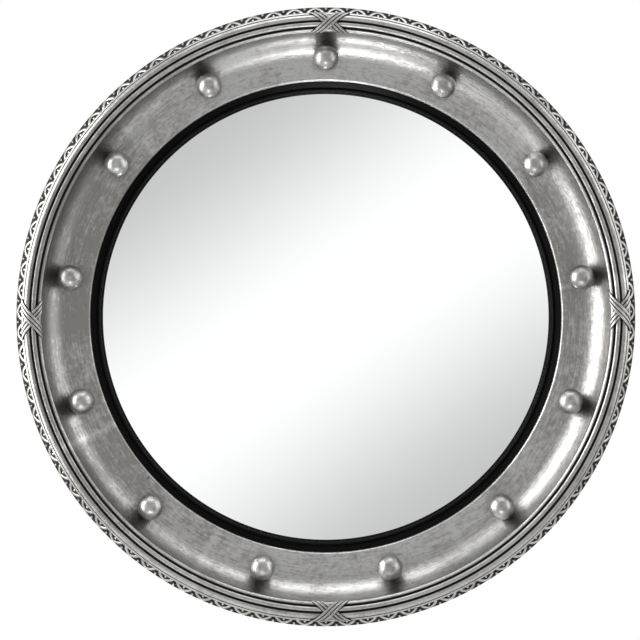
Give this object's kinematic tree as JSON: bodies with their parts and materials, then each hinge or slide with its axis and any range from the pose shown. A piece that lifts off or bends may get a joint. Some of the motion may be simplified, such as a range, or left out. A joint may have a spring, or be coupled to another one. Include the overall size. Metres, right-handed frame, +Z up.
{
  "type": "convex mirror",
  "caption": "Round convex wall mirror in a deep silver-leafed frame with turned balls in a cove, reeds bound by crossed ribbons and a carved leaf border.",
  "frame": {"origin": "centre of the mirror on the plane of the wall behind it", "axes": "+Y towards the wall, -Y out of the front of the glass, +Z up, +X to the right seen from the front"},
  "size_m": [0.6099, 0.0637, 0.61],
  "materials": {
    "silver_leaf": "silver leaf over turned wood, lightly rubbed, with lap lines",
    "carved_silver_leaf": "silver leaf over carving, dark glaze in the hollows",
    "ebonised_wood": "black lacquer, satin",
    "mirror_glass": "silvered glass",
    "hardboard": "plain brown hardboard",
    "zinc_steel": "zinc-plated",
    "rubber": "matt",
    "foam": "closed-cell foam strip"
  },
  "bodies": {
    "mirror": {"frame_ring": "silver_leaf", "ribbon_tie_top": "silver_leaf", "ribbon_tie_right": "silver_leaf", "ribbon_tie_bottom": "silver_leaf", "ribbon_tie_left": "silver_leaf", "ball_01": "silver_leaf", "ball_02": "silver_leaf", "ball_03": "silver_leaf", "ball_04": "silver_leaf", "ball_05": "silver_leaf", "ball_06": "silver_leaf", "ball_07": "silver_leaf", "ball_08": "silver_leaf", "ball_09": "silver_leaf", "ball_10": "silver_leaf", "ball_11": "silver_leaf", "ball_12": "silver_leaf", "ball_13": "silver_leaf", "leaf_border": "carved_silver_leaf", "black_slip": "ebonised_wood", "mirror_glass": "mirror_glass", "glass_packing": "foam", "backboard": "hardboard", "turn_button_screws": "zinc_steel", "hanger_strap_left": "zinc_steel", "hanger_strap_right": "zinc_steel", "hanger_screws": "zinc_steel", "wall_pad_1": "rubber", "wall_pad_2": "rubber", "wall_pad_3": "rubber", "wall_pad_4": "rubber"},
    "button_1": {"turn_button_1": "zinc_steel"},
    "button_2": {"turn_button_2": "zinc_steel"},
    "button_3": {"turn_button_3": "zinc_steel"},
    "button_4": {"turn_button_4": "zinc_steel"},
    "button_5": {"turn_button_5": "zinc_steel"},
    "button_6": {"turn_button_6": "zinc_steel"},
    "button_7": {"turn_button_7": "zinc_steel"},
    "button_8": {"turn_button_8": "zinc_steel"},
    "ring_left": {"hanger_ring_left": "zinc_steel"},
    "ring_right": {"hanger_ring_right": "zinc_steel"}
  },
  "joints": [
    {"name": "button_1_turn", "type": "hinge", "parent": "mirror", "child": "button_1", "pos_m": [0, -0.0053, 0.262], "axis": [0, 1, 0], "continuous": true},
    {"name": "button_2_turn", "type": "hinge", "parent": "mirror", "child": "button_2", "pos_m": [0.18526, -0.0053, 0.18526], "axis": [0, 1, 0], "continuous": true},
    {"name": "button_3_turn", "type": "hinge", "parent": "mirror", "child": "button_3", "pos_m": [0.262, -0.0053, 0], "axis": [0, 1, 0], "continuous": true},
    {"name": "button_4_turn", "type": "hinge", "parent": "mirror", "child": "button_4", "pos_m": [0.18526, -0.0053, -0.18526], "axis": [0, 1, 0], "continuous": true},
    {"name": "button_5_turn", "type": "hinge", "parent": "mirror", "child": "button_5", "pos_m": [0, -0.0053, -0.262], "axis": [0, 1, 0], "continuous": true},
    {"name": "button_6_turn", "type": "hinge", "parent": "mirror", "child": "button_6", "pos_m": [-0.18526, -0.0053, -0.18526], "axis": [0, 1, 0], "continuous": true},
    {"name": "button_7_turn", "type": "hinge", "parent": "mirror", "child": "button_7", "pos_m": [-0.262, -0.0053, 0], "axis": [0, 1, 0], "continuous": true},
    {"name": "button_8_turn", "type": "hinge", "parent": "mirror", "child": "button_8", "pos_m": [-0.18526, -0.0053, 0.18526], "axis": [0, 1, 0], "continuous": true},
    {"name": "ring_left_fold", "type": "hinge", "parent": "mirror", "child": "ring_left", "pos_m": [-0.25407, -0.00345, 0.10524], "axis": [1, 0, 0], "range_deg": [0, 180]},
    {"name": "ring_right_fold", "type": "hinge", "parent": "mirror", "child": "ring_right", "pos_m": [0.25407, -0.00345, 0.10524], "axis": [1, 0, 0], "range_deg": [0, 180]}
  ]
}
